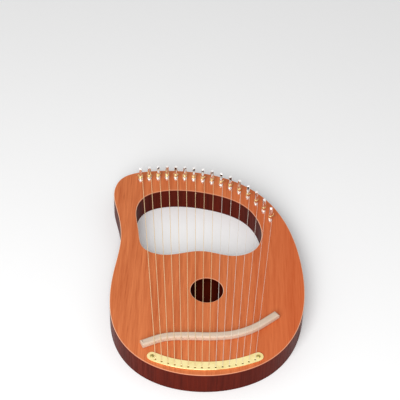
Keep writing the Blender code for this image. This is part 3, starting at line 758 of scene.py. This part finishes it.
# Painted shade: the grooves between the wrap's turns are painted darker.
BRONZE_PAINTED_GROOVE_SHADE = (0.760, 0.540, 0.300, 1.0)
BRONZE_FINISH = 0.32
WRAP_PITCH = 0.00035
WRAP_DEPTH = 0.00005
WRAP_RELIEF = 0.5
WAVES_AT_SCALE_ONE = 20.0 / (2 * math.pi)
STEEL = (0.820, 0.760, 0.680, 1.0)
STEEL_SHADE = (0.620, 0.560, 0.490, 1.0)
STEEL_BRUSHING = (900.0, 90.0, 900.0)
# Painted reflections: the one wire is painted silver on its lower turns and gold on its upper ones.
COIL_SILVER_REFLECTION = (0.900, 0.880, 0.850, 1.0)
COIL_GOLD_REFLECTION = (0.760, 0.600, 0.300, 1.0)
GOLD_REFLECTION_HEIGHTS = (0.0060, 0.0080)
# Painted shade: the outer end of the wire is painted dark.
COIL_TAIL_PAINTED_SHADE = (0.240, 0.150, 0.080, 1.0)
TAIL_SHADE_DISTANCES = (0.0040, 0.0046)


def wrap_group():
    """Fine wire wrapped round a core, its turns across the string, with painted shade in the grooves
    between the turns.
    """
    group, start, end = new_group(
        "wire wrap",
        {
            "Bright": ("NodeSocketColor", (1.0, 1.0, 1.0, 1.0)),
            "Shade": ("NodeSocketColor", (0.5, 0.5, 0.5, 1.0)),
            "Scale": ("NodeSocketFloat", 900.0),
        },
        {"Color": "NodeSocketColor", "Height": "NodeSocketFloat"},
    )
    link = group.links.new
    place = group.nodes.new("ShaderNodeTexCoord")
    turns = add_node(group, "ShaderNodeTexWave", bands_direction="Y")
    link(place.outputs["Object"], turns.inputs["Vector"])
    link(start.outputs["Scale"], turns.inputs["Scale"])
    shaded = blend(group, turns.outputs["Fac"], start.outputs["Shade"], start.outputs["Bright"])
    link(shaded, end.inputs["Color"])
    link(turns.outputs["Fac"], end.inputs["Height"])
    return group


WIRE_WRAP = wrap_group()


def wound_wire():
    made, tree, shader = new_material("bronze wound wire", Metallic=1.0, Roughness=BRONZE_FINISH)
    rate = 1 / (WAVES_AT_SCALE_ONE * WRAP_PITCH)
    wrap = use_group(tree, WIRE_WRAP, Bright=BRONZE, Shade=BRONZE_PAINTED_GROOVE_SHADE, Scale=rate)
    tree.links.new(wrap.outputs["Color"], shader.inputs["Base Color"])
    raise_surface(tree, shader, wrap.outputs["Height"], WRAP_DEPTH, WRAP_RELIEF)
    return made


def coil_wire():
    """The wire on a pin, painted silver below and gold on its upper turns, both painted reflections,
    and painted dark at its cut end, a painted shade.
    """
    made, tree, shader = new_material("coiled wire", Metallic=1.0)
    brushed = use_group(
        tree, BRUSHED_METAL, Bright=COIL_SILVER_REFLECTION, Dull=STEEL, Brushing=PLAIN_BRUSHING,
        Smoothest=PLAIN_FINISH[0], Roughest=PLAIN_FINISH[1],
    )
    place = tree.nodes.new("ShaderNodeTexCoord")
    parts = tree.nodes.new("ShaderNodeSeparateXYZ")
    tree.links.new(place.outputs["Object"], parts.inputs[0])
    # Painted reflections by height, then painted shade on the wire's outer end.
    upper = ramp(tree, parts.outputs["Z"], *GOLD_REFLECTION_HEIGHTS)
    reflection_bands = blend(tree, upper, brushed.outputs["Color"], COIL_GOLD_REFLECTION)
    tail_shade = ramp(tree, parts.outputs["X"], *TAIL_SHADE_DISTANCES)
    tree.links.new(blend(tree, tail_shade, reflection_bands, COIL_TAIL_PAINTED_SHADE), shader.inputs["Base Color"])
    tree.links.new(brushed.outputs["Roughness"], shader.inputs["Roughness"])
    return made


def around(radius, sides):
    """Corner radius of a polygon that clears a circle of this radius."""
    return radius / math.cos(math.pi / sides)


def tangent_point(outside, centre, radius):
    """Where a line from the outside point touches the circle, on the left as seen from there, or
    with a negative radius on the right."""
    offset = centre - outside
    distance = np.linalg.norm(offset)
    bearing = math.atan2(offset[1], offset[0]) + math.asin(radius / distance)
    length = math.sqrt(distance**2 - radius**2)
    return outside + length * np.array((math.cos(bearing), math.sin(bearing)))


def winding_points(radius, coil_radius, turns, curled):
    """Wire on a pin, in the pin's own frame, from where the string meets it to its cut end. It
    climbs in close turns, crosses to a second band and climbs on to the eye."""
    step_up = 2 * radius + TURN_GAP
    eye_rise = PIN_EYE_HEIGHT - STRING_HEIGHT_AT_PIN
    last_half = eye_rise - step_up
    high_start = last_half - step_up * (turns - 0.5 - LOW_TURNS - 1.0)
    turn_marks = (0.0, LOW_TURNS, LOW_TURNS + 1.0, turns - 0.5, turns)
    rise_marks = (0.0, LOW_TURNS * step_up, high_start, last_half, eye_rise)
    start_bearing = math.pi + turns * 2 * math.pi
    points = []
    count = math.ceil(turns * TURN_POINTS)
    for i in range(count + 1):
        done = turns * i / count
        bearing = start_bearing - done * 2 * math.pi
        height = STRING_HEIGHT_AT_PIN + np.interp(done, turn_marks, rise_marks)
        points.append((coil_radius * math.cos(bearing), coil_radius * math.sin(bearing), height))
    reach = PIN_RADIUS + WIRE_END_LENGTH
    points.append((PIN_RADIUS, 0.0, PIN_EYE_HEIGHT))
    points.append((reach, 0.0, PIN_EYE_HEIGHT))
    for i in range(1, (TURN_POINTS if curled else WIRE_END_POINTS) + 1):
        turn = CURL_TURN * i / TURN_POINTS
        points.append((
            reach + CURL_RADIUS * math.sin(turn), WIRE_END_SLANT * i,
            PIN_EYE_HEIGHT - CURL_RADIUS * (1 - math.cos(turn)),
        ))
    return points


def wire(name, points, radius, widths=None):
    """A round wire through the points. widths, where given, are shares of its radius."""
    curve = bpy.data.curves.new(name, "CURVE")
    curve.dimensions = "3D"
    curve.bevel_depth = radius
    curve.bevel_resolution = WIRE_STEPS
    curve.use_fill_caps = True
    spline = curve.splines.new("POLY")
    spline.points.add(len(points) - 1)
    for i, point in enumerate(points):
        spline.points[i].co = (*point, 1.0)
        if widths:
            spline.points[i].radius = widths[i]
    return curve


def strand_stations(radius, run, bridge_shares):
    """Shares of the way from pin to anchor, with the wire's height and its width there."""
    hole_rim = 1.0 - (ANCHOR_HOLE_RADIUS - radius) / run
    over_bridge = bridge_top + radius - BRIDGE_NOTCH
    ball_top = face_high - BALL_DROP
    ball_width = BALL_RADIUS / radius
    return (
        (0.0, face_high + STRING_HEIGHT_AT_PIN, 1.0),
        (bridge_shares.min(), over_bridge, 1.0),
        (bridge_shares.max(), over_bridge, 1.0),
        (hole_rim - radius * 2 / run, plate_top + radius * 2, 1.0),
        (hole_rim - radius / 2 / run, plate_top + radius, 1.0),
        (hole_rim, plate_top - radius * 2, 1.0),
        (1.0, ball_top, 1.0),
        (1.0, ball_top - BALL_SHOULDER, ball_width),
        (1.0, ball_top - BALL_LENGTH, ball_width),
    )


bronze_wire = wound_wire()
steel_wire = metal(
    "plain steel wire", STEEL, STEEL_SHADE, STEEL_BRUSHING, PLAIN_FINISH, POLISH_DEPTH
)
coiled_wire = coil_wire()

string_count = len(frame["joints"])
for i in range(string_count):
    number = f"{i + 1:02d}"
    share = i / (string_count - 1)
    radius = BASS_STRING_RADIUS + (TREBLE_STRING_RADIUS - BASS_STRING_RADIUS) * share
    coil_radius = PIN_RADIUS + radius
    cad_coil_radius = around(PIN_RADIUS + CAD_WIRE_SEAT + radius, CAD_TURN_POINTS)
    pin_place = np.array(frame["joints"][i]["pos_m"][:2])
    pin_base = (*pin_place, face_high)
    wire_end = math.radians(WIRE_END_BEARINGS[i])
    wound = i < WOUND_STRINGS
    add_piece(
        f"turned_pin_{number}", pin_data, f"tuning_pin_{number}", f"pin_{number}",
        nickel, pin_base, wire_end,
    )

    corners = np.array([v.co for v in frame["nodes"][f"string_{number}"].data.vertices])
    ball = corners[corners[:, 2] < face_high - WELD]
    anchor = (ball.min(0) + ball.max(0))[:2] / 2
    cad_leaving = tangent_point(anchor, pin_place, -cad_coil_radius)
    start = cad_leaving - pin_place
    partial = ((math.atan2(start[1], start[0]) - wire_end - math.pi) / (2 * math.pi)) % 1.0
    turns = LEAST_TURNS + (partial - LEAST_TURNS) % 1.0
    coil_points = winding_points(radius, coil_radius, turns, i == string_count - 1)
    add_piece(
        f"coil_{number}", wire(f"coil_{number}", coil_points, radius), f"winding_{number}",
        f"pin_{number}", coiled_wire, pin_base, wire_end,
    )

    leaving = tangent_point(anchor, pin_place, -coil_radius)
    way = anchor - leaving
    run = np.linalg.norm(way)
    crest = corners[corners[:, 2] > corners[:, 2].max() - radius / 2]
    stations = strand_stations(radius, run, (crest[:, :2] - leaving) @ way / run**2)
    route = [(*(leaving + way * part), height) for part, height, _ in stations]
    strand = wire(f"strand_{number}", route, radius, [width for _, _, width in stations])
    look = bronze_wire if wound else steel_wire
    add_piece(f"strand_{number}", strand, f"string_{number}", "body", look)
